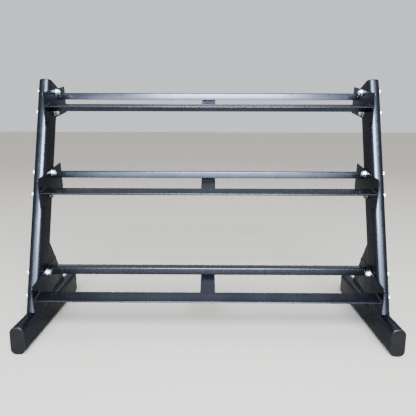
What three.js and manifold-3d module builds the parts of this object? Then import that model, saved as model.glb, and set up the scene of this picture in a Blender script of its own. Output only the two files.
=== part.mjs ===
// Three-tier dumbbell rack: two leaning oval-tube uprights on oval-tube feet, with three shelves
// bolted between them. Each shelf is a pair of angle rails welded to two end plates and a centre strap.
//
// Millimetres and degrees. +X runs along the shelves, +Y to the rear, +Z up.
// The origin is on the floor, midway between the feet and midway along them.

import * as THREE from 'three';
import { mergeVertices } from 'three/addons/utils/BufferGeometryUtils.js';
import Module from 'manifold-3d';

const wasm = await Module();
wasm.setup();

// ---- Driving dimensions ----

const GAP = 0.3; // clearance left between pieces that touch
const CUT = 10; // how far a cutting tool runs past the piece that it cuts

const TUBE = { width: 50, depth: 100, corner: 21, wall: 2.5 };
const UPRIGHT_X = 657.5; // centre plane of each foot and upright
const FOOT_LENGTH = 585;
const UPRIGHT_LEAN = 17.5; // to the rear, from vertical
const UPRIGHT_BASE_Y = -143.9; // where the upright's centre line meets the floor plane
const UPRIGHT_LENGTH = 1003; // along the centre line, from the floor plane to the cap's top
const CAP = { flange: 4, plug: 14, clearance: 0.4, inset: 0.3 };

const GUSSET = { thickness: 6, height: 246, length: 236, blunt: 10 };

// A shelf's own axes: Y runs up the slope to the rear and Z is square to it.
// Its origin is the top front corner of the end plates.
const SHELF_SLOPE = 11;
const PLATE = { length: 253, height: 110, thickness: 5, skew: 3.5, corner: 5, toe: 16, heel: 10 };
const UPPER_BOLT = { y: 139.3, z: -12 };
const BOLT_PITCH = 88; // along the upright, between a shelf's two bolts
const BOLT_HEIGHTS = { bottom: 225, middle: 601, top: 922 }; // of each shelf's upper bolt

const RAIL = { narrow: 29, thickness: 5, bend: 8 };
const FRONT_RAIL = { wide: 67, y: -3, z: -49 }; // placed by its front edge, on the upper face
const REAR_RAIL = { wide: 57, y: 195, z: -20.4, turn: -17 }; // placed by its bend
const STRAP = { width: 56, thickness: 5, frontZ: -57, rearY: 202, rearZ: -49.6 };
const BACKING = { width: 45, length: 114, thickness: 5, corner: 6 };

// M12 fasteners, by radius or across flats, and length.
const BOLT = { radius: 6, flats: 19, head: 7.5, end: 4 };
const NUT = { flats: 19, height: 10.8, bore: 6.3 };
const WASHER = { radius: 12, thickness: 2.5 };
const HOLE_RADIUS = 6.5;
const ROUND_STEPS = 12;
const CORNER_STEPS = 2; // an arc takes twice as many
const PLATE_STEPS = 3;

const BLACK_PAINT = { color: 0x1d1f24, roughness: 0.42, metalness: 0.35 };
const BLACK_PLASTIC = { color: 0x191b20, roughness: 0.6, metalness: 0 };
const ZINC = { color: 0xd3d8de, roughness: 0.28, metalness: 0.9 };

// ---- Worked-out places ----

const rad = THREE.MathUtils.degToRad;
const lean = rad(UPRIGHT_LEAN);
const slope = rad(SHELF_SLOPE);
const plateInnerX = UPRIGHT_X - TUBE.width / 2 - GAP - PLATE.thickness;
const backingInnerX = UPRIGHT_X + TUBE.width / 2 + GAP;
const railHalfLength = plateInnerX - GAP;

// A point on the upright's centre line at a height above the floor, as (y, z).
const onUpright = (z) => new THREE.Vector2(UPRIGHT_BASE_Y + z * Math.tan(lean), z);

// The lower bolt in the shelf's own axes, one pitch down the upright from the upper one.
const lowerBolt = {
  y: UPPER_BOLT.y - BOLT_PITCH * Math.sin(lean + slope),
  z: UPPER_BOLT.z - BOLT_PITCH * Math.cos(lean + slope),
};

// ---- Geometry helpers ----

function toSolid(geometry) {
  const bare = geometry.clone();
  bare.deleteAttribute('normal');
  bare.deleteAttribute('uv');
  const merged = mergeVertices(bare, 1e-4);
  return new wasm.Manifold(new wasm.Mesh({
    numProp: 3,
    vertProperties: new Float32Array(merged.attributes.position.array),
    triVerts: new Uint32Array(merged.index.array),
  }));
}

function toGeometry(solid) {
  const { vertProperties, triVerts } = solid.getMesh();
  const geometry = new THREE.BufferGeometry();
  geometry.setAttribute('position', new THREE.BufferAttribute(vertProperties, 3));
  geometry.setIndex(new THREE.BufferAttribute(triVerts, 1));
  geometry.computeVertexNormals();
  return geometry;
}

const subtract = (body, ...tools) =>
  toGeometry(tools.reduce((solid, tool) => solid.subtract(toSolid(tool)), toSolid(body)));
const union = (a, b) => toGeometry(toSolid(a).add(toSolid(b)));

function extrude(shape, length, steps = CORNER_STEPS) {
  return new THREE.ExtrudeGeometry(shape, { depth: length, bevelEnabled: false, curveSegments: steps });
}

// Extrudes a (y, z) outline along +X, from x = start.
function extrudeAlongX(shape, start, length, steps = CORNER_STEPS) {
  const toX = new THREE.Matrix4().makeBasis(
    new THREE.Vector3(0, 1, 0),
    new THREE.Vector3(0, 0, 1),
    new THREE.Vector3(1, 0, 0),
  );
  return extrude(shape, length, steps).applyMatrix4(toX).translate(start, 0, 0);
}

// An oblong with round corners, centred on the origin.
function ovalShape(width, depth, corner) {
  const x = width / 2 - corner;
  const y = depth / 2 - corner;
  const quarter = Math.PI / 2;
  const shape = new THREE.Shape();
  shape.moveTo(x + corner, -y);
  shape.absarc(x, y, corner, 0, quarter);
  shape.absarc(-x, y, corner, quarter, 2 * quarter);
  shape.absarc(-x, -y, corner, 2 * quarter, 3 * quarter);
  shape.absarc(x, -y, corner, 3 * quarter, 4 * quarter);
  return shape;
}

// A polygon from [x, y, corner radius] points.
function roundedPolygon(points) {
  const shape = new THREE.Shape();
  points.forEach(([x, y, radius], i) => {
    const corner = new THREE.Vector2(x, y);
    const before = new THREE.Vector2(...points.at(i - 1).slice(0, 2)).sub(corner).setLength(radius || 1);
    const after = new THREE.Vector2(...points[(i + 1) % points.length].slice(0, 2)).sub(corner);
    after.setLength(radius || 1);
    const start = radius ? corner.clone().add(before) : corner;
    if (i === 0) shape.moveTo(start.x, start.y);
    else shape.lineTo(start.x, start.y);
    if (radius) shape.quadraticCurveTo(x, y, x + after.x, y + after.y);
  });
  shape.closePath();
  return shape;
}

function holePath(x, y, radius) {
  const centre = new THREE.Vector2(x, y);
  const corners = Array.from({ length: ROUND_STEPS }, (_, i) =>
    new THREE.Vector2(radius, 0).rotateAround(new THREE.Vector2(), (-2 * Math.PI * i) / ROUND_STEPS));
  return new THREE.Path(corners.map((corner) => corner.add(centre)));
}

// A round bar along X, from x = start.
function barAlongX(radius, start, length, sides = ROUND_STEPS) {
  return new THREE.CylinderGeometry(radius, radius, length, sides)
    .rotateZ(Math.PI / 2)
    .translate(start + length / 2, 0, 0);
}

const hexRadius = (flats) => flats / 2 / Math.cos(Math.PI / 6);

// ---- Pieces ----

const tubeShape = (grow = 0) =>
  ovalShape(TUBE.width + 2 * grow, TUBE.depth + 2 * grow, TUBE.corner + grow);

function hollowTube(length) {
  const shape = tubeShape();
  shape.holes.push(tubeShape(-TUBE.wall));
  return extrude(shape, length);
}

// An insert cap: a flange that covers the tube's end, at z = 0 upwards, and a plug below it.
function capGeometry() {
  const flange = extrude(tubeShape(-CAP.inset), CAP.flange);
  const plug = extrude(tubeShape(-TUBE.wall - CAP.clearance), CAP.plug + CAP.flange / 2);
  return union(flange, plug.translate(0, 0, -CAP.plug));
}

// Lays a geometry built along +Z with its section's depth on Y down along +Y, standing on the floor.
function layAlongY(geometry) {
  return geometry.rotateX(-Math.PI / 2).translate(0, 0, TUBE.depth / 2);
}

const footBarLength = FOOT_LENGTH - 2 * (CAP.flange + GAP);
const footTubeGeometry = () => layAlongY(hollowTube(footBarLength)).translate(0, -footBarLength / 2, 0);

// In the upright's own axes: Z up its centre line from the floor plane.
function uprightGeometry() {
  const top = UPRIGHT_LENGTH - CAP.flange - GAP;
  const foot = layAlongY(extrude(tubeShape(GAP), FOOT_LENGTH)).translate(0, -FOOT_LENGTH / 2, 0);
  const under = new THREE.BoxGeometry(2 * TUBE.width, FOOT_LENGTH, TUBE.depth);
  const bolts = Object.values(BOLT_HEIGHTS).flatMap((z) =>
    [z / Math.cos(lean), z / Math.cos(lean) - BOLT_PITCH].map((along) =>
      barAlongX(HOLE_RADIUS, -TUBE.width, 2 * TUBE.width).translate(0, 0, along)));
  const toOwnAxes = (g) => g.translate(0, -UPRIGHT_BASE_Y, 0).rotateX(lean);
  return subtract(hollowTube(top), toOwnAxes(foot), toOwnAxes(under), ...bolts);
}

// A plate in the corner behind the upright, standing on the foot's top.
function gussetGeometry() {
  const { thickness, height, length, blunt } = GUSSET;
  const base = TUBE.depth + GAP;
  const rearOfUpright = (z) => onUpright(z).x + (TUBE.depth / 2 + GAP) / Math.cos(lean);
  const outline = roundedPolygon([
    [rearOfUpright(base), base],
    [rearOfUpright(base) + length + blunt, base],
    [rearOfUpright(base) + length + blunt, base + blunt],
    [rearOfUpright(base + height) + blunt, base + height],
    [rearOfUpright(base + height), base + height],
  ]);
  return extrudeAlongX(outline, -thickness / 2, thickness);
}

function endPlateGeometry() {
  const { length, height, thickness, skew, corner, toe, heel } = PLATE;
  const back = height * Math.tan(rad(skew));
  const outline = roundedPolygon([
    [0, 0, corner],
    [-back, -height, toe],
    [length - back, -height, heel],
    [length, 0, corner],
  ]);
  outline.holes.push(holePath(UPPER_BOLT.y, UPPER_BOLT.z, HOLE_RADIUS));
  outline.holes.push(holePath(lowerBolt.y, lowerBolt.z, HOLE_RADIUS));
  return extrudeAlongX(outline, 0, thickness, PLATE_STEPS);
}

// In axes along the upright, with the upper bolt at the origin.
function backingPlateGeometry() {
  const { width, length, thickness, corner } = BACKING;
  const top = (length - BOLT_PITCH) / 2;
  const outline = roundedPolygon([
    [-width / 2, top, corner],
    [-width / 2, top - length, corner],
    [width / 2, top - length, corner],
    [width / 2, top, corner],
  ]);
  outline.holes.push(holePath(0, 0, HOLE_RADIUS));
  outline.holes.push(holePath(0, -BOLT_PITCH, HOLE_RADIUS));
  return extrudeAlongX(outline, 0, thickness, PLATE_STEPS);
}

// An angle with its bend at (y, z) = (0, 0): the wide leg runs along reach * Y, the narrow one down.
function railGeometry(wide, reach) {
  const { narrow, thickness, bend } = RAIL;
  const points = [
    [0, 0, bend],
    [0, -narrow, 1],
    [thickness, -narrow, 1],
    [thickness, -thickness, bend - thickness],
    [wide, -thickness, 1],
    [wide, 0, 1],
  ];
  const outline = roundedPolygon(points.map(([y, z, r]) => [reach * y, z, r]));
  return extrudeAlongX(outline, -railHalfLength, 2 * railHalfLength, PLATE_STEPS);
}

// A flat bar from the front rail's bend to underneath the rear rail.
function strapGeometry() {
  const { width, thickness, frontZ, rearY, rearZ } = STRAP;
  const front = FRONT_RAIL.y + FRONT_RAIL.wide + GAP;
  const outline = roundedPolygon([
    [front, frontZ],
    [front, frontZ - thickness],
    [rearY, rearZ - thickness, 1],
    [rearY, rearZ, 1],
  ]);
  return extrudeAlongX(outline, -width / 2, width);
}

// The pieces of a through-bolt lie along X, measured from the upright's centre plane outwards.
const innerFace = plateInnerX - UPRIGHT_X - GAP;
const outerFace = TUBE.width / 2 + GAP + BACKING.thickness + GAP;
const nutStart = innerFace - WASHER.thickness - NUT.height;

// A hex of a given height with its washer, where the washer is the end that bears on the plate.
function hexWithWasher(flats, height, start, washerStart) {
  const hex = barAlongX(hexRadius(flats), start, height + WASHER.thickness, 6);
  return union(hex, barAlongX(WASHER.radius, washerStart, WASHER.thickness));
}

function boltGeometry() {
  const start = nutStart - BOLT.end;
  const shank = barAlongX(BOLT.radius, start, outerFace - start + BOLT.head);
  return union(shank, hexWithWasher(BOLT.flats, BOLT.head, outerFace, outerFace));
}

function nutGeometry() {
  const body = hexWithWasher(NUT.flats, NUT.height, nutStart, innerFace - WASHER.thickness);
  return subtract(body, barAlongX(NUT.bore, nutStart - CUT, NUT.height + 2 * CUT));
}

// ---- Assembly ----

const rack = new THREE.Group();

function addMesh(parent, name, geometry, material, x = 0, y = 0, z = 0) {
  const mesh = new THREE.Mesh(geometry, new THREE.MeshStandardMaterial(material));
  mesh.name = name;
  mesh.position.set(x, y, z);
  parent.add(mesh);
  return mesh;
}

function addGroup(x, y, z, turnX) {
  const group = new THREE.Group();
  group.position.set(x, y, z);
  group.rotation.x = turnX;
  rack.add(group);
  return group;
}

const SIDES = { left: -1, right: 1 };

function addFrame(side, sign) {
  const x = sign * UPRIGHT_X;
  addMesh(rack, `foot_tube_${side}`, footTubeGeometry(), BLACK_PAINT, x);
  for (const [end, way] of [['front', -1], ['rear', 1]]) {
    const y = way * (FOOT_LENGTH / 2 - CAP.flange);
    const cap = addMesh(rack, `foot_cap_${end}_${side}`, capGeometry(), BLACK_PLASTIC, x, y, TUBE.depth / 2);
    cap.rotation.x = -way * Math.PI / 2;
  }
  const upright = addGroup(x, UPRIGHT_BASE_Y, 0, -lean);
  addMesh(upright, `upright_${side}`, uprightGeometry(), BLACK_PAINT);
  addMesh(upright, `upright_cap_${side}`, capGeometry(), BLACK_PLASTIC, 0, 0, UPRIGHT_LENGTH - CAP.flange);
  addMesh(rack, `gusset_${side}`, gussetGeometry(), BLACK_PAINT, x);
}

function addShelf(tier) {
  const bolt = onUpright(BOLT_HEIGHTS[tier]);
  const toBolt = new THREE.Vector2(UPPER_BOLT.y, UPPER_BOLT.z).rotateAround(new THREE.Vector2(), slope);
  const shelf = addGroup(0, bolt.x - toBolt.x, bolt.y - toBolt.y, slope);

  for (const [side, sign] of Object.entries(SIDES)) {
    const x = sign > 0 ? plateInnerX : -plateInnerX - PLATE.thickness;
    addMesh(shelf, `end_plate_${tier}_${side}`, endPlateGeometry(), BLACK_PAINT, x);
  }

  const frontShape = railGeometry(FRONT_RAIL.wide, -1);
  const rearShape = railGeometry(REAR_RAIL.wide, 1);
  const bendY = FRONT_RAIL.y + FRONT_RAIL.wide;
  addMesh(shelf, `front_rail_${tier}`, frontShape, BLACK_PAINT, 0, bendY, FRONT_RAIL.z);
  const rear = addMesh(shelf, `rear_rail_${tier}`, rearShape, BLACK_PAINT, 0, REAR_RAIL.y, REAR_RAIL.z);
  rear.rotation.x = rad(REAR_RAIL.turn);
  addMesh(shelf, `centre_strap_${tier}`, strapGeometry(), BLACK_PAINT);
}

function addFasteners(tier, side, sign) {
  const { x: y, y: z } = onUpright(BOLT_HEIGHTS[tier]);
  const axes = addGroup(sign * UPRIGHT_X, y, z, -lean);
  const backingX = sign > 0 ? backingInnerX - UPRIGHT_X : UPRIGHT_X - backingInnerX - BACKING.thickness;
  addMesh(axes, `backing_plate_${tier}_${side}`, backingPlateGeometry(), BLACK_PAINT, backingX);
  for (const [place, along] of [['upper', 0], ['lower', -BOLT_PITCH]]) {
    const end = `${tier}_${place}_${side}`;
    for (const [name, geometry] of [['bolt', boltGeometry()], ['nut', nutGeometry()]]) {
      const piece = addMesh(axes, `${name}_${end}`, geometry, ZINC, 0, 0, along);
      if (sign < 0) piece.rotation.z = Math.PI;
    }
  }
}

for (const [side, sign] of Object.entries(SIDES)) addFrame(side, sign);
for (const tier of Object.keys(BOLT_HEIGHTS)) {
  addShelf(tier);
  for (const [side, sign] of Object.entries(SIDES)) addFasteners(tier, side, sign);
}

export default rack;
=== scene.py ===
"""Looks for the dumbbell rack: fine steelwork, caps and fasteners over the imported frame.

Lengths are metres and angles degrees, in the frame's own axes: +X along the shelves,
+Y to the rear, +Z up, with the origin on the floor midway between the feet.
"""
import math

import bmesh
import bpy
from mathutils import Euler, Matrix, Vector


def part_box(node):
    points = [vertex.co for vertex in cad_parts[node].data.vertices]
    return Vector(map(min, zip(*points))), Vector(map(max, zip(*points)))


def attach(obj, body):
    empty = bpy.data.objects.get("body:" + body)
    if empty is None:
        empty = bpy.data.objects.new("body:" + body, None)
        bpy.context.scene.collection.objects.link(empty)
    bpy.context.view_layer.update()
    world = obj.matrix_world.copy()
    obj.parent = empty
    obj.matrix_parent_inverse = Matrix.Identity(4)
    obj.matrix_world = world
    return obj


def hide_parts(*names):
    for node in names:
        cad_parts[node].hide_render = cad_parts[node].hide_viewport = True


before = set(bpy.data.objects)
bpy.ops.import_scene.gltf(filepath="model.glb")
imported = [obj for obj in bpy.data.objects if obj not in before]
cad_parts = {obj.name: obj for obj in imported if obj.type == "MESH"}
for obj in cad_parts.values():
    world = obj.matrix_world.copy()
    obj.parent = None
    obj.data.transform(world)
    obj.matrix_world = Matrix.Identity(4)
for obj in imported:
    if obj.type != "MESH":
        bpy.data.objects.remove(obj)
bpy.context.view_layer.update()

MM = 0.001

# ---- Driving dimensions, the same as the CAD model's ----

TUBE_WIDTH = 50 * MM
TUBE_DEPTH = 100 * MM
TUBE_CORNER = 21 * MM
TUBE_WALL = 2.5 * MM
UPRIGHT_LEAN = math.radians(17.5)
UPRIGHT_BASE_Y = -143.9 * MM
UPRIGHT_LENGTH = 1003 * MM
CAP_FLANGE = 4 * MM
CAP_INSET = 0.3 * MM
CAP_PLUG = 14 * MM

SHELF_SLOPE = math.radians(11)
PLATE_LENGTH = 253 * MM
PLATE_HEIGHT = 110 * MM
PLATE_THICKNESS = 5 * MM
PLATE_SKEW = math.radians(3.5)
UPPER_BOLT_Y = 139.3 * MM
UPPER_BOLT_Z = -12 * MM
BOLT_PITCH = 88 * MM
BOLT_HEIGHTS = {"bottom": 225 * MM, "middle": 601 * MM, "top": 922 * MM}

RAIL_NARROW = 29 * MM
RAIL_THICKNESS = 5 * MM
FRONT_RAIL_WIDE = 67 * MM
FRONT_RAIL = (64 * MM, -49 * MM)  # its bend
REAR_RAIL_WIDE = 57 * MM
REAR_RAIL = (195 * MM, -20.4 * MM)  # its bend
REAR_RAIL_TURN = math.radians(-17)
STRAP_WIDTH = 56 * MM
STRAP_FRONT_Z = -57 * MM
STRAP_REAR = (202 * MM, -49.6 * MM)

BACKING_WIDTH = 45 * MM
BACKING_LENGTH = 114 * MM
BOLT_RADIUS = 6 * MM
THREAD_PITCH = 1.75 * MM
HEX_FLATS = 19 * MM
HEAD_HEIGHT = 7.5 * MM
NUT_HEIGHT = 10.8 * MM
BOLT_END = 4 * MM
WASHER_RADIUS = 12 * MM
WASHER_THICKNESS = 2.5 * MM
GUSSET_HEIGHT = 246 * MM
GUSSET_LENGTH = 236 * MM
GUSSET_BLUNT = 10 * MM
GAP = 0.3 * MM

# ---- Finish details ----

EDGE_ROUND = 0.9 * MM  # on cut plate and bar
TUBE_END_ROUND = 0.5 * MM
RAIL_END_ROUND = 0.5 * MM
RAIL_BEND_OUTER = 6 * MM
RAIL_BEND_INNER = 2.5 * MM
RAIL_EDGE_ROUND = 1.2 * MM
RAIL_TOE_ROUND = 3 * MM  # the upper edge of its wide leg
PLATE_ROUNDS = (6 * MM, 9 * MM, 6 * MM, 4 * MM)  # from the top front corner, down and round
BACKING_ROUND = 5 * MM
STRAP_FRONT_ROUND = 0.8 * MM
STRAP_REAR_ROUND = 3 * MM
GUSSET_TOE_ROUND = 1 * MM
GUSSET_BLUNT_ROUND = 1.5 * MM

THREAD_DEPTH = 0.55  # as a share of its pitch
THREAD_LEAD = 1.2 * MM  # length of the bar's chamfered tip
THREAD_LEAD_DEPTH = 0.9 * MM
THREAD_IN_NUT = 3 * MM  # how far the modelled thread runs on inside the nut
THREAD_RUN_OUT = 2 * MM
NUT_CLEARANCE = 0.1 * MM
HEAD_BORE = 0.5 * MM  # closes the middle of the bolt's head
HEX_CHAMFER = math.radians(30)
HEX_RIM = 0.965  # radius of the turned end face, as a share of half the flats
WASHER_CLEARANCE = 0.5 * MM
WASHER_EDGE = 0.4 * MM

WELD_LEG = 5.5 * MM
SMALL_WELD_LEG = 4 * MM
WELD_ROOT = 0.4 * MM  # how far a bead's root lies behind the corner it fills
WELD_REACH = 0.9  # how far a bead's toes lie from the corner, as a share of its leg
WELD_HOLLOW = 0.1  # how much less its middle reaches
WELD_RIPPLE = 2.6 * MM  # distance from one ripple of a weld bead to the next
RIPPLE_DEPTH = 0.05
RIPPLE_BOW = 0.9  # how far a ripple's middle lags its ends, as a share of the leg
WELD_WANDER = ((0.05, 1.3, 0), (0.04, 0.47, 1))  # slow swells: depth, radians per leg, start
WELD_END_SIZE = 0.55  # where a bead starts and stops
WELD_RUN_IN = 1.2  # the legs travelled before a bead has its full size
RAIL_WELD_FROM_BEND = 7 * MM
RAIL_WELD_FROM_EDGE = 4 * MM
STRAP_WELD_FROM_EDGE = 3 * MM
GUSSET_WELD_FROM_CORNER = 8 * MM
GUSSET_WELD_FROM_TOP = 4 * MM
SADDLE_STEP = 0.6 * MM
SADDLE_SWELL = 0.5  # how far the bead leans outwards where the tubes' sides are flush
SADDLE_ROOT = 1.6 * MM  # and how far in its root lies there

ARC_STEPS = 10  # in a quarter turn
CORNER_STEPS = 6  # in an outline's rounded corner
EDGE_STEPS = 3  # across a slab's rounded edge
TURNED_STEPS = 64  # round a washer
HEX_STEPS = 72
THREAD_STEPS = 40  # round the bar
THREAD_ROWS = 8  # in one pitch
WELD_STEP = 0.45 * MM
WELD_ARC_POINTS = 7
SHARP_ANGLE = 32  # in degrees: edges that bend further are shaded as edges
SHARP_HEX_ANGLE = 24
SHARP_THREAD_ANGLE = 40
SHARP_CAP_ANGLE = 50
SHARP_WELD_ANGLE = 60
MERGE_DISTANCE = 1e-7

TIERS = tuple(BOLT_HEIGHTS)
SIDES = {"left": -1, "right": 1}


# ---- Places, worked out from the frame ----

def side_x(side):
    """The centre plane of one side's foot and upright."""
    low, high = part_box(f"foot_tube_{side}")
    return (low.x + high.x) / 2


def on_upright(height):
    """The (y, z) point on the upright's centre line at a height above the floor."""
    return UPRIGHT_BASE_Y + height * math.tan(UPRIGHT_LEAN), height


def along_x(x, y, z, turn):
    """A matrix that turns about X, then moves."""
    return Matrix.Translation((x, y, z)) @ Matrix.Rotation(turn, 4, "X")


def shelf_matrix(tier):
    """From a shelf's own axes, whose origin is the end plates' top front corner."""
    y, z = on_upright(BOLT_HEIGHTS[tier])
    cos, sin = math.cos(SHELF_SLOPE), math.sin(SHELF_SLOPE)
    down_slope_y = UPPER_BOLT_Y * cos - UPPER_BOLT_Z * sin
    down_slope_z = UPPER_BOLT_Y * sin + UPPER_BOLT_Z * cos
    return along_x(0, y - down_slope_y, z - down_slope_z, SHELF_SLOPE)


def bolt_matrix(tier, place, side):
    """From axes along a bolt, with X pointing outwards from the upright's centre plane."""
    y, z = on_upright(BOLT_HEIGHTS[tier])
    matrix = along_x(side_x(side), y, z, -UPRIGHT_LEAN)
    if place == "lower":
        matrix = matrix @ Matrix.Translation((0, 0, -BOLT_PITCH))
    if SIDES[side] < 0:
        matrix = matrix @ Matrix.Rotation(math.pi, 4, "Z")
    return matrix


# ---- Outlines, as lists of 2-D points ----

def arc(centre_x, centre_y, radius, start, end, steps=ARC_STEPS):
    """Points on an arc, from one angle to another in degrees."""
    angles = (math.radians(start + (end - start) * i / steps) for i in range(steps + 1))
    return [(centre_x + radius * math.cos(a), centre_y + radius * math.sin(a)) for a in angles]


def oval(width, depth, corner):
    x, y = width / 2 - corner, depth / 2 - corner
    return (arc(x, y, corner, 0, 90) + arc(-x, y, corner, 90, 180)
            + arc(-x, -y, corner, 180, 270) + arc(x, -y, corner, 270, 360))


def tube_outline(grow=0.0):
    return oval(TUBE_WIDTH + 2 * grow, TUBE_DEPTH + 2 * grow, TUBE_CORNER + grow)


def circle(radius, steps):
    return arc(0, 0, radius, 0, 360, steps)[:-1]


def rounded(points):
    """A polygon whose corners, given as (x, y, radius), are rounded by true arcs."""
    outline = []
    for i, (x, y, radius) in enumerate(points):
        corner = Vector((x, y))
        before = (Vector(points[i - 1][:2]) - corner).normalized()
        after = (Vector(points[(i + 1) % len(points)][:2]) - corner).normalized()
        if radius == 0:
            outline.append((x, y))
            continue
        half = before.angle(after) / 2
        reach = radius / math.tan(half)
        centre = corner + (before + after).normalized() * (radius / math.sin(half))
        start = corner + before * reach - centre
        sweep = start.angle_signed(corner + after * reach - centre)
        for k in range(CORNER_STEPS + 1):
            turned = Matrix.Rotation(-sweep * k / CORNER_STEPS, 2) @ start
            outline.append(tuple(centre + turned))
    return outline


# ---- Mesh builders ----

def finish_mesh(name, mesh, matrix, sharp=SHARP_ANGLE):
    """Moves a mesh into place, cleans it up and returns it as an object."""
    mesh.transform(matrix)
    work = bmesh.new()
    work.from_mesh(mesh)
    bmesh.ops.remove_doubles(work, verts=work.verts, dist=MERGE_DISTANCE)
    bmesh.ops.recalc_face_normals(work, faces=work.faces)
    work.to_mesh(mesh)
    work.free()
    mesh.shade_smooth()
    mesh.set_sharp_from_angle(angle=math.radians(sharp))
    piece = bpy.data.objects.new(name, mesh)
    bpy.context.scene.collection.objects.link(piece)
    return piece


def from_grid(name, rings, matrix, closed_path=False, sharp=SHARP_ANGLE):
    """A skin over rings of points, each ring a closed loop with the same number of points.
    A closed path joins the last ring to the first, and an open one has a face at each end."""
    work = bmesh.new()
    loops = [[work.verts.new(point) for point in ring] for ring in rings]
    pairs = list(zip(loops, loops[1:]))
    if closed_path:
        pairs.append((loops[-1], loops[0]))
    for lower, upper in pairs:
        for i in range(len(lower)):
            j = (i + 1) % len(lower)
            work.faces.new((lower[i], lower[j], upper[j], upper[i]))
    if not closed_path:
        work.faces.new(list(reversed(loops[0])))
        work.faces.new(loops[-1])
    mesh = bpy.data.meshes.new(name)
    work.to_mesh(mesh)
    work.free()
    return finish_mesh(name, mesh, matrix, sharp)


def slab(name, outline, thickness, matrix, holes=(), edge=EDGE_ROUND):
    """A flat piece with rounded edges: the outline lies in X and Y, and it is centred on Z."""
    curve = bpy.data.curves.new(name, "CURVE")
    curve.dimensions = "2D"
    curve.fill_mode = "BOTH"
    curve.extrude = thickness / 2 - edge
    curve.bevel_depth = edge
    curve.bevel_resolution = EDGE_STEPS
    curve.offset = -edge
    for points in (outline, *holes):
        spline = curve.splines.new("POLY")
        spline.points.add(len(points) - 1)
        for point, (x, y) in zip(spline.points, points):
            point.co = (x, y, 0, 1)
        spline.use_cyclic_u = True
    carrier = bpy.data.objects.new(name, curve)
    bpy.context.scene.collection.objects.link(carrier)
    graph = bpy.context.evaluated_depsgraph_get()
    mesh = bpy.data.meshes.new_from_object(carrier.evaluated_get(graph))
    bpy.data.objects.remove(carrier)
    bpy.data.curves.remove(curve)
    mesh.materials.clear()
    return finish_mesh(name, mesh, matrix)


# Lays a slab's X and Y along the frame's Y and Z, and its thickness along X.
YZ_PLANE = Matrix(((0, 0, 1, 0), (1, 0, 0, 0), (0, 1, 0, 0), (0, 0, 0, 1)))


def revolve(name, profile, matrix):
    """A closed (x, radius) profile turned about the X axis."""
    rings = [[(x, *point) for point in circle(radius, TURNED_STEPS)] for x, radius in profile]
    return from_grid(name, rings, matrix, closed_path=True)


def weld(name, path, matrix, leg, closed=False):
    """A rippled fillet bead. Each path entry is (corner point, away along one face, away
    along the other), and the bead fills the corner between the two faces."""
    travelled = 0.0
    rings = []
    total = sum((Vector(a[0]) - Vector(b[0])).length for a, b in zip(path, path[1:]))
    for i, (corner, first, second) in enumerate(path):
        corner = Vector(corner)
        first, second = Vector(first).normalized(), Vector(second).normalized()
        if i:
            travelled += (corner - Vector(path[i - 1][0])).length
        taper = 1.0
        if not closed:
            from_end = min(travelled, total - travelled)
            full = min(1.0, from_end / (WELD_RUN_IN * leg))
            taper = WELD_END_SIZE + (1 - WELD_END_SIZE) * full
        wander = sum(depth * math.sin(travelled / leg * pace + turn)
                     for depth, pace, turn in WELD_WANDER)
        ring = [corner - (first + second) * WELD_ROOT]
        for k in range(WELD_ARC_POINTS):
            angle = math.pi / 2 * k / (WELD_ARC_POINTS - 1)
            bow = math.sin(2 * angle)
            phase = 2 * math.pi * (travelled + RIPPLE_BOW * leg * bow) / WELD_RIPPLE
            ripple = RIPPLE_DEPTH * math.sin(phase) * bow
            radius = leg * taper * (WELD_REACH - WELD_HOLLOW * bow + wander + ripple)
            along_first, along_second = radius * math.cos(angle), radius * math.sin(angle)
            ring.append(corner + first * along_first + second * along_second)
        rings.append(ring)
    return from_grid(name, rings, matrix, closed_path=closed, sharp=SHARP_WELD_ANGLE)


def straight_path(start, end, first, second):
    """A weld path along a straight corner, in even steps."""
    start, end = Vector(start), Vector(end)
    count = max(2, int((end - start).length / WELD_STEP))
    return [(start.lerp(end, i / count), first, second) for i in range(count + 1)]


# ---- Materials ----

COAT_COLOR = (0.019, 0.021, 0.027)
COAT_METALLIC = 0.95
COAT_EDGE_TINT = (0.5, 0.5, 0.5, 1)  # the flakes in the coat keep grazing reflections dim
COLOR_BAND = (0.35, 0.65)  # the part of a noise pattern's range that makes the whole change
ROUGHNESS_BAND = (0.3, 0.7)


def new_material(name, color, roughness, metallic):
    material = bpy.data.materials.new(name)
    material.use_nodes = True
    shader = material.node_tree.nodes["Principled BSDF"]
    shader.inputs["Base Color"].default_value = (*color, 1)
    shader.inputs["Roughness"].default_value = roughness
    shader.inputs["Metallic"].default_value = metallic
    return material, material.node_tree, shader


def noise(tree, scale, detail, roughness=0.5, stretch=None):
    """A noise pattern in object space, with its scale in features per metre."""
    coordinates = tree.nodes.new("ShaderNodeTexCoord")
    source = coordinates.outputs["Object"]
    if stretch:
        mapping = tree.nodes.new("ShaderNodeMapping")
        mapping.inputs["Scale"].default_value = stretch
        tree.links.new(source, mapping.inputs["Vector"])
        source = mapping.outputs["Vector"]
    texture = tree.nodes.new("ShaderNodeTexNoise")
    texture.inputs["Scale"].default_value = scale
    texture.inputs["Detail"].default_value = detail
    texture.inputs["Roughness"].default_value = roughness
    tree.links.new(source, texture.inputs["Vector"])
    return texture.outputs["Fac"]


def remap(tree, value, band, low, high):
    """Stretches a band of a value's range to run from low to high."""
    node = tree.nodes.new("ShaderNodeMapRange")
    node.inputs["From Min"].default_value, node.inputs["From Max"].default_value = band
    node.inputs["To Min"].default_value = low
    node.inputs["To Max"].default_value = high
    tree.links.new(value, node.inputs["Value"])
    return node.outputs["Result"]


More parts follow.
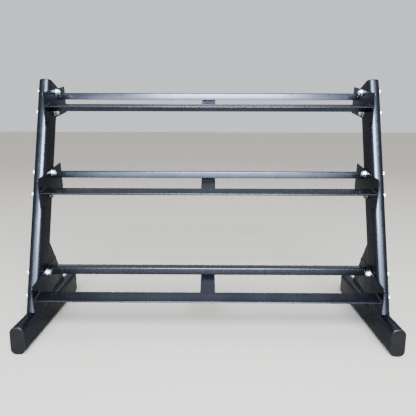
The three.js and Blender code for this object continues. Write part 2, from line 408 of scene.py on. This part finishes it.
def vary_color(tree, shader, pattern, first, second):
    """Lets the colour drift from one tone to another, as a noise pattern says."""
    factor = remap(tree, pattern, COLOR_BAND, 0, 1)
    node = tree.nodes.new("ShaderNodeMix")
    node.data_type = "RGBA"
    node.inputs["A"].default_value = (*first, 1)
    node.inputs["B"].default_value = (*second, 1)
    tree.links.new(factor, node.inputs["Factor"])
    tree.links.new(node.outputs["Result"], shader.inputs["Base Color"])


def vary_roughness(tree, shader, pattern, low, high):
    """Lets the roughness run from low to high, as a noise pattern says."""
    roughness = remap(tree, pattern, ROUGHNESS_BAND, low, high)
    tree.links.new(roughness, shader.inputs["Roughness"])


def bump(tree, shader, pattern, distance, strength):
    """A bump whose height follows a noise pattern, over a distance in metres."""
    node = tree.nodes.new("ShaderNodeBump")
    node.inputs["Distance"].default_value = distance
    node.inputs["Strength"].default_value = strength
    tree.links.new(pattern, node.inputs["Height"])
    tree.links.new(node.outputs["Normal"], shader.inputs["Normal"])


def powder_coat():
    """Charcoal metallic powder coat: faint orange peel, uneven gloss and slight colour drift."""
    material, tree, shader = new_material("powder_coat", COAT_COLOR, 0.28, COAT_METALLIC)
    vary_color(tree, shader, noise(tree, 9, 3), (0.0170, 0.0190, 0.0245), (0.0210, 0.0230, 0.0295))
    vary_roughness(tree, shader, noise(tree, 55, 4, 0.6), 0.23, 0.31)
    shader.inputs["Specular Tint"].default_value = COAT_EDGE_TINT
    bump(tree, shader, noise(tree, 300, 2, 0.45), 0.1 * MM, 0.08)
    return material


def weld_coat():
    """The same coat over a weld bead: a little rougher, and pitted."""
    material, tree, shader = new_material("weld_coat", COAT_COLOR, 0.26, COAT_METALLIC)
    vary_roughness(tree, shader, noise(tree, 140, 3), 0.26, 0.36)
    shader.inputs["Specular Tint"].default_value = COAT_EDGE_TINT
    bump(tree, shader, noise(tree, 700, 3, 0.6), 0.3 * MM, 0.35)
    return material


def cap_plastic():
    """Black moulded polyethylene with a fine spark-eroded grain."""
    material, tree, shader = new_material("cap_plastic", (0.0013, 0.0014, 0.0018), 0.34, 0.0)
    vary_color(tree, shader, noise(tree, 40, 3), (0.0010, 0.0011, 0.0014), (0.0016, 0.0017, 0.0021))
    vary_roughness(tree, shader, noise(tree, 90, 3), 0.30, 0.38)
    shader.inputs["Specular IOR Level"].default_value = 0.16
    bump(tree, shader, noise(tree, 1300, 3, 0.6), 0.25 * MM, 0.4)
    return material


def zinc_plate():
    """Bright zinc on machined steel: slightly blue, with clouding and fine lathe marks."""
    material, tree, shader = new_material("zinc_plate", (0.58, 0.60, 0.63), 0.32, 1.0)
    vary_color(tree, shader, noise(tree, 160, 4, 0.6), (0.53, 0.55, 0.59), (0.64, 0.66, 0.69))
    vary_roughness(tree, shader, noise(tree, 420, 3, 0.6), 0.27, 0.40)
    bump(tree, shader, noise(tree, 260, 2, 0.5, stretch=(10, 1, 1)), 0.1 * MM, 0.35)
    return material


def pale_floor():
    material, _, shader = new_material("pale_floor", (0.185, 0.172, 0.154), 0.8, 0.0)
    shader.inputs["Specular IOR Level"].default_value = 0.2
    return material


PAINT = powder_coat()
WELD = weld_coat()
PLASTIC = cap_plastic()
ZINC = zinc_plate()


def dress(piece, material, slot, *nodes):
    """Gives a piece its material and its body, and hides the nodes it stands for. Its slot argument
    is not used.
    """
    piece.data.materials.append(material)
    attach(piece, "root")
    if nodes:
        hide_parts(*nodes)


# ---- Feet and uprights ----

def make_foot(side):
    node = f"foot_tube_{side}"
    low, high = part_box(node)
    length = high.y - low.y
    turn = Matrix.Rotation(math.radians(90), 4, "X")
    centre = Matrix.Translation(((low.x + high.x) / 2, 0, TUBE_DEPTH / 2))
    tube = slab(f"fine_{node}", tube_outline(), length, centre @ turn,
                [tube_outline(-TUBE_WALL)], edge=TUBE_END_ROUND)
    dress(tube, PAINT, "powder_coat", node)


def saddle_height(x):
    """The height of the foot's upper surface at a distance x from its centre plane."""
    flat = TUBE_WIDTH / 2 - TUBE_CORNER
    reach = min(max(abs(x) - flat, 0), TUBE_CORNER)
    return TUBE_DEPTH - TUBE_CORNER + math.sqrt(TUBE_CORNER ** 2 - reach ** 2)


def saddle_ring(outline):
    """Where a vertical-walled outline on the upright's axes meets the foot, in those axes."""
    ring = []
    for x, y in outline:
        z = (saddle_height(x) + GAP + y * math.sin(UPRIGHT_LEAN)) / math.cos(UPRIGHT_LEAN)
        ring.append((x, y, z))
    return ring


def upright_matrix(side):
    return along_x(side_x(side), UPRIGHT_BASE_Y, 0, -UPRIGHT_LEAN)


def make_upright(side):
    node = f"upright_{side}"
    top = UPRIGHT_LENGTH - CAP_FLANGE - GAP
    outer, inner = tube_outline(), tube_outline(-TUBE_WALL)
    rings = [
        saddle_ring(outer),
        [(x, y, top - TUBE_END_ROUND) for x, y in outer],
        [(x, y, top) for x, y in tube_outline(-TUBE_END_ROUND)],
        [(x, y, top) for x, y in inner],
        saddle_ring(inner),
    ]
    tube = from_grid(f"fine_{node}", rings, upright_matrix(side), closed_path=True)
    dress(tube, PAINT, "powder_coat", node)


def even_outline():
    """The tube's outline in nearly even steps, anticlockwise."""
    outline = [Vector(point) for point in tube_outline()]
    points = []
    for i, start in enumerate(outline):
        end = outline[(i + 1) % len(outline)]
        count = max(1, round((end - start).length / SADDLE_STEP))
        points += [tuple(start.lerp(end, k / count)) for k in range(count)]
    return points


def saddle_weld(side):
    """A bead all round the joint between an upright and its foot."""
    outline = even_outline()
    down = Vector((0, math.sin(UPRIGHT_LEAN), -math.cos(UPRIGHT_LEAN)))
    path = []
    for i, point in enumerate(saddle_ring(outline)):
        before, after = Vector(outline[i - 1]), Vector(outline[(i + 1) % len(outline)])
        tangent = (after - before).normalized()
        outward = Vector((tangent.y, -tangent.x, 0))
        flush = abs(outward.x)  # 1 where the upright's side runs straight into the foot's
        swell = outward * SADDLE_SWELL * flush
        root = Vector(point) - outward * SADDLE_ROOT * flush
        path.append((root, outward * (1 - flush) + down * flush + swell, swell - down))
    bead = weld(f"weld_upright_{side}", path, upright_matrix(side), SMALL_WELD_LEG, closed=True)
    dress(bead, WELD, "powder_coat")


def make_cap(node, matrix):
    """A moulded insert cap: a crowned flange with a soft rim, over a tapered plug."""
    levels = [  # height above the flange's seat, inset from the tube's outline
        (-CAP_PLUG, TUBE_WALL + 1.4 * MM),
        (-CAP_PLUG + 3 * MM, TUBE_WALL + 0.4 * MM),
        (0, TUBE_WALL + 0.4 * MM),
        (0, CAP_INSET + 0.3 * MM),
        (0.4 * MM, CAP_INSET),
        (1.6 * MM, CAP_INSET),
        (2.5 * MM, CAP_INSET + 0.3 * MM),
        (3.2 * MM, CAP_INSET + 0.9 * MM),
        (3.7 * MM, CAP_INSET + 1.9 * MM),
        (3.9 * MM, CAP_INSET + 3.2 * MM),
        (3.75 * MM, CAP_INSET + 4.4 * MM),
        (3.45 * MM, CAP_INSET + 5.2 * MM),
        (3.4 * MM, CAP_INSET + 6.4 * MM),
        (3.6 * MM, CAP_INSET + 12 * MM),
        (3.7 * MM, CAP_INSET + 17 * MM),
    ]
    rings = [[(x, y, z) for x, y in tube_outline(-inset)] for z, inset in levels]
    cap = from_grid(f"fine_{node}", rings, matrix, sharp=SHARP_CAP_ANGLE)
    dress(cap, PLASTIC, "cap_plastic", node)


def make_caps(side):
    top = upright_matrix(side) @ Matrix.Translation((0, 0, UPRIGHT_LENGTH - CAP_FLANGE))
    make_cap(f"upright_cap_{side}", top)
    for end, way in (("front", -1), ("rear", 1)):
        node = f"foot_cap_{end}_{side}"
        low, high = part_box(node)
        face = (high.y if way > 0 else low.y) - way * CAP_FLANGE
        place = along_x(side_x(side), face, TUBE_DEPTH / 2, -way * math.pi / 2)
        make_cap(node, place)


def make_gusset(side):
    node = f"gusset_{side}"
    low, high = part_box(node)
    x = (low.x + high.x) / 2
    toe = (low.y + GUSSET_LENGTH + GUSSET_BLUNT, low.z)
    top = (low.y + GUSSET_HEIGHT * math.tan(UPRIGHT_LEAN), high.z)
    outline = rounded([
        (low.y, low.z, 0),
        (*toe, GUSSET_TOE_ROUND),
        (toe[0], toe[1] + GUSSET_BLUNT, GUSSET_BLUNT_ROUND),
        (top[0] + GUSSET_BLUNT, top[1], GUSSET_BLUNT_ROUND),
        (*top, 0),
    ])
    thickness = high.x - low.x
    plate = slab(f"fine_{node}", outline, thickness, Matrix.Translation((x, 0, 0)) @ YZ_PLANE)
    dress(plate, PAINT, "powder_coat", node)

    up_stem = Vector((0, top[0] - low.y, top[1] - low.z)).normalized()
    rear = Vector((0, math.cos(UPRIGHT_LEAN), -math.sin(UPRIGHT_LEAN)))
    for face in (-1, 1):
        surface = x + face * thickness / 2
        foot_path = straight_path((surface, low.y + GUSSET_WELD_FROM_CORNER, low.z),
                                  (surface, toe[0] - GUSSET_WELD_FROM_CORNER, low.z),
                                  (face, 0, 0), (0, 0, 1))
        start = Vector((surface, low.y, low.z)) + up_stem * GUSSET_WELD_FROM_CORNER
        end = Vector((surface, *top)) - up_stem * GUSSET_WELD_FROM_TOP
        stem_path = straight_path(start, end, (face, 0, 0), rear)
        label = "inner" if face * SIDES[side] < 0 else "outer"
        for place, path in (("foot", foot_path), ("upright", stem_path)):
            bead = weld(f"weld_gusset_{place}_{label}_{side}", path, Matrix(), SMALL_WELD_LEG)
            dress(bead, WELD, "powder_coat")


# ---- Shelves ----

def plate_outline():
    back = PLATE_HEIGHT * math.tan(PLATE_SKEW)
    corners = [(0, 0), (-back, -PLATE_HEIGHT), (PLATE_LENGTH - back, -PLATE_HEIGHT),
               (PLATE_LENGTH, 0)]
    return rounded([(*corner, radius) for corner, radius in zip(corners, PLATE_ROUNDS)])


def make_end_plates(tier):
    for side in SIDES:
        node = f"end_plate_{tier}_{side}"
        low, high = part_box(node)
        place = Matrix.Translation(((low.x + high.x) / 2, 0, 0)) @ shelf_matrix(tier) @ YZ_PLANE
        plate = slab(f"fine_{node}", plate_outline(), PLATE_THICKNESS, place)
        dress(plate, PAINT, "powder_coat", node)


def rail_outline(wide, reach):
    """An angle with its bend at the origin. Its narrow leg runs down, and its wide leg along
    +X where reach is 1 and -X where it is -1."""
    points = [
        (0, 0, RAIL_BEND_OUTER),
        (0, -RAIL_NARROW, RAIL_EDGE_ROUND),
        (RAIL_THICKNESS, -RAIL_NARROW, RAIL_EDGE_ROUND),
        (RAIL_THICKNESS, -RAIL_THICKNESS, RAIL_BEND_INNER),
        (wide, -RAIL_THICKNESS, RAIL_EDGE_ROUND),
        (wide, 0, RAIL_TOE_ROUND),
    ]
    return rounded([(reach * x, y, radius) for x, y, radius in points])


def make_rails(tier):
    shelf = shelf_matrix(tier)
    low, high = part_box(f"front_rail_{tier}")
    length = high.x - low.x
    front = shelf @ along_x(0, *FRONT_RAIL, 0)
    rear = shelf @ along_x(0, *REAR_RAIL, REAR_RAIL_TURN)
    rails = (("front_rail", front, FRONT_RAIL_WIDE, -1), ("rear_rail", rear, REAR_RAIL_WIDE, 1))
    for name, matrix, wide, reach in rails:
        node = f"{name}_{tier}"
        rail = slab(f"fine_{node}", rail_outline(wide, reach), length, matrix @ YZ_PLANE,
                    edge=RAIL_END_ROUND)
        dress(rail, PAINT, "powder_coat", node)
        for side, sign in SIDES.items():
            x = sign * (high.x + GAP)
            inward = (-sign, 0, 0)
            top_path = straight_path((x, reach * RAIL_WELD_FROM_BEND, 0),
                                     (x, reach * (wide - RAIL_WELD_FROM_EDGE), 0),
                                     inward, (0, 0, 1))
            leg_path = straight_path((x, 0, -RAIL_WELD_FROM_BEND),
                                     (x, 0, -RAIL_NARROW + RAIL_WELD_FROM_EDGE),
                                     inward, (0, -reach, 0))
            for place, path, size in (("top", top_path, WELD_LEG),
                                      ("leg", leg_path, SMALL_WELD_LEG)):
                bead = weld(f"weld_{node}_{place}_{side}", path, matrix, size)
                dress(bead, WELD, "powder_coat")


def make_strap(tier):
    """The flat bar under the middle of a shelf, with the bead along its front end."""
    node = f"centre_strap_{tier}"
    front_y = FRONT_RAIL[0] + GAP
    rise = STRAP_REAR[1] - STRAP_FRONT_Z
    run = STRAP_REAR[0] - front_y
    angle = math.atan2(rise, run)
    length = math.hypot(rise, run)
    half = STRAP_WIDTH / 2
    outline = rounded([(-half, 0, STRAP_FRONT_ROUND), (half, 0, STRAP_FRONT_ROUND),
                       (half, length, STRAP_REAR_ROUND), (-half, length, STRAP_REAR_ROUND)])
    matrix = shelf_matrix(tier) @ along_x(0, front_y, STRAP_FRONT_Z, angle)
    low_side = Matrix.Translation((0, 0, -RAIL_THICKNESS / 2))
    strap = slab(f"fine_{node}", outline, RAIL_THICKNESS, matrix @ low_side)
    dress(strap, PAINT, "powder_coat", node)
    reach = half - STRAP_WELD_FROM_EDGE
    front_path = straight_path((-reach, 0, 0), (reach, 0, 0), (0, 1, 0), (0, 0, 1))
    bead = weld(f"weld_strap_front_{tier}", front_path, matrix, SMALL_WELD_LEG)
    dress(bead, WELD, "powder_coat")


# ---- Bolts, nuts and washers ----

def hex_rings(height, chamfer_ends, bore):
    """Rings along X for a hex prism. Each end that chamfer_ends says is turned down to a
    round chamfer."""
    angles = [2 * math.pi * i / HEX_STEPS for i in range(HEX_STEPS)]
    flat_reach = HEX_FLATS / 2
    slope = math.tan(HEX_CHAMFER)

    def wall(angle):
        sixth = math.pi / 3
        return flat_reach / math.cos((angle + sixth / 2) % sixth - sixth / 2)

    def drop(radius, rim):
        return max(0.0, radius - rim) * slope

    def ring(x, reach):
        return [(x(a), reach(a) * math.cos(a), reach(a) * math.sin(a)) for a in angles]

    rim = flat_reach * HEX_RIM
    near, far = chamfer_ends
    rings = [ring(lambda a: 0, lambda a: bore)]
    rings.append(ring(lambda a: 0, lambda a: rim if near else wall(a)))
    if near:
        rings.append(ring(lambda a: drop(wall(a), rim), wall))
    if far:
        rings.append(ring(lambda a: height - drop(wall(a), rim), wall))
    rings.append(ring(lambda a: height, lambda a: rim if far else wall(a)))
    rings.append(ring(lambda a: height, lambda a: bore))
    return rings


def make_hex(name, start, height, chamfer_ends, bore, matrix):
    shifted = [[(x + start, y, z) for x, y, z in ring]
               for ring in hex_rings(height, chamfer_ends, bore)]
    return from_grid(f"fine_{name}", shifted, matrix, closed_path=True, sharp=SHARP_HEX_ANGLE)


def threaded_bar(name, start, end, thread_end, matrix):
    """A round bar from start to end along X, with a 60 degree thread from start to thread_end."""
    depth = THREAD_DEPTH * THREAD_PITCH
    rows = []
    x = start
    while x < thread_end:
        rows.append(x)
        x += THREAD_PITCH / THREAD_ROWS
    rows += [thread_end + THREAD_RUN_OUT, end]
    rings = []
    for x in rows:
        lead_in = max(0.0, 1 - (x - start) / THREAD_LEAD) * THREAD_LEAD_DEPTH
        ring = []
        for i in range(THREAD_STEPS):
            angle = 2 * math.pi * i / THREAD_STEPS
            turn = (x / THREAD_PITCH + i / THREAD_STEPS) % 1
            groove = depth * abs(2 * turn - 1) if x <= thread_end else 0
            radius = BOLT_RADIUS - max(groove, lead_in)
            ring.append((x, radius * math.cos(angle), radius * math.sin(angle)))
        rings.append(ring)
    return from_grid(f"fine_{name}", rings, matrix, sharp=SHARP_THREAD_ANGLE)


def make_washer(name, start, matrix):
    bore, face = BOLT_RADIUS + WASHER_CLEARANCE, WASHER_RADIUS - WASHER_EDGE
    end = start + WASHER_THICKNESS
    profile = [(start, bore), (start, face), (start + WASHER_EDGE, WASHER_RADIUS),
               (end - WASHER_EDGE, WASHER_RADIUS), (end, face), (end, bore)]
    dress(revolve(name, profile, matrix), ZINC, "zinc")


def make_fastener(tier, place, side):
    label = f"{tier}_{place}_{side}"
    matrix = bolt_matrix(tier, place, side)
    outer_face = TUBE_WIDTH / 2 + GAP + PLATE_THICKNESS + GAP
    inner_face = -outer_face
    nut_start = inner_face - WASHER_THICKNESS - NUT_HEIGHT
    bolt_start = nut_start - BOLT_END
    head_start = outer_face + WASHER_THICKNESS

    bar = threaded_bar(f"bolt_{label}", bolt_start, head_start + HEAD_HEIGHT / 2,
                       nut_start + THREAD_IN_NUT, matrix)
    dress(bar, ZINC, "zinc", f"bolt_{label}")
    head = make_hex(f"bolt_head_{label}", head_start, HEAD_HEIGHT, (False, True), HEAD_BORE, matrix)
    dress(head, ZINC, "zinc", f"bolt_{label}")
    nut = make_hex(f"nut_{label}", nut_start, NUT_HEIGHT, (True, True),
                   BOLT_RADIUS + NUT_CLEARANCE, matrix)
    dress(nut, ZINC, "zinc", f"nut_{label}")
    make_washer(f"inner_washer_{label}", inner_face - WASHER_THICKNESS, matrix)
    make_washer(f"outer_washer_{label}", outer_face, matrix)


def make_backing_plate(tier, side):
    node = f"backing_plate_{tier}_{side}"
    low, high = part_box(node)
    y, z = on_upright(BOLT_HEIGHTS[tier])
    half, top = BACKING_WIDTH / 2, (BACKING_LENGTH - BOLT_PITCH) / 2
    bottom = top - BACKING_LENGTH
    corners = [(-half, top), (-half, bottom), (half, bottom), (half, top)]
    outline = rounded([(*corner, BACKING_ROUND) for corner in corners])
    place = along_x((low.x + high.x) / 2, y, z, -UPRIGHT_LEAN) @ YZ_PLANE
    plate = slab(f"fine_{node}", outline, PLATE_THICKNESS, place)
    dress(plate, PAINT, "powder_coat", node)


# ---- Stage, light and camera ----

SENSOR_WIDTH = 36  # millimetres
FOCAL_LENGTH = 36.55
CLIP_START = 0.05
CAMERA_PLACE = (11.3 * MM, -1638 * MM, 770.3 * MM)
CAMERA_PITCH = 10.47
CAMERA_YAW = 0.41
CAMERA_ROLL = 0.15

FLOOR_REACH = 150
SKY_COLOR = (0.80, 0.82, 0.86, 1)
SKY_STRENGTH = 1.05
DAYLIGHT = (0.82, 0.91, 1.0)
PANELS = {  # place, target, width, height, power in watts
    "front": ((0.2, -3.6, 2.8), (0, 0, 0.7), 2.8, 1.6, 2250),
    "front_low": ((0, -3.9, 1.5), (0, 0, 0.6), 4.8, 1.5, 560),
    "rear_top": ((0, 4.0, 4.3), (0, 0, 0.5), 5.0, 2.0, 100),
    "rear_low": ((0, 4.2, 1.95), (0, 0, 0.3), 5.0, 0.7, 45),
}
OVERHEAD_POWER = 7
OVERHEAD_SPREAD = math.radians(70)
OVERHEAD_TILT = math.radians(12)


def make_camera():
    data = bpy.data.cameras.new("camera")
    data.sensor_width = SENSOR_WIDTH
    data.lens = FOCAL_LENGTH
    data.clip_start = CLIP_START
    camera = bpy.data.objects.new("camera", data)
    aim = Euler((math.radians(90 - CAMERA_PITCH), 0, math.radians(CAMERA_YAW)))
    roll = Matrix.Rotation(math.radians(CAMERA_ROLL), 4, "Z")
    camera.matrix_world = Matrix.Translation(CAMERA_PLACE) @ aim.to_matrix().to_4x4() @ roll
    bpy.context.scene.collection.objects.link(camera)
    bpy.context.scene.camera = camera


def make_floor():
    work = bmesh.new()
    bmesh.ops.create_grid(work, x_segments=1, y_segments=1, size=FLOOR_REACH)
    mesh = bpy.data.meshes.new("floor")
    work.to_mesh(mesh)
    work.free()
    floor = bpy.data.objects.new("floor", mesh)
    floor.data.materials.append(pale_floor())
    bpy.context.scene.collection.objects.link(floor)


def area_light(name, place, target, width, height, power):
    data = bpy.data.lights.new(name, "AREA")
    data.shape = "RECTANGLE"
    data.size, data.size_y = width, height
    data.energy = power
    data.color = DAYLIGHT
    light = bpy.data.objects.new(name, data)
    direction = Vector(target) - Vector(place)
    light.location = place
    light.rotation_euler = direction.to_track_quat("-Z", "Y").to_euler()
    light.visible_camera = False
    bpy.context.scene.collection.objects.link(light)


def make_lights():
    world = bpy.data.worlds.new("studio")
    world.use_nodes = True
    shade = world.node_tree.nodes["Background"]
    shade.inputs["Color"].default_value = SKY_COLOR
    shade.inputs["Strength"].default_value = SKY_STRENGTH
    bpy.context.scene.world = world
    for name, panel in PANELS.items():
        area_light(name, *panel)
    overhead = bpy.data.lights.new("overhead", "SUN")
    overhead.energy = OVERHEAD_POWER
    overhead.angle = OVERHEAD_SPREAD
    lamp = bpy.data.objects.new("overhead", overhead)
    lamp.rotation_euler = (OVERHEAD_TILT, 0, 0)
    bpy.context.scene.collection.objects.link(lamp)


make_camera()
make_floor()
make_lights()

for each_side in SIDES:
    make_foot(each_side)
    make_upright(each_side)
    saddle_weld(each_side)
    make_caps(each_side)
    make_gusset(each_side)

for each_tier in TIERS:
    make_end_plates(each_tier)
    make_rails(each_tier)
    make_strap(each_tier)
    for each_side in SIDES:
        make_backing_plate(each_tier, each_side)
        for each_place in ("upper", "lower"):
            make_fastener(each_tier, each_place, each_side)
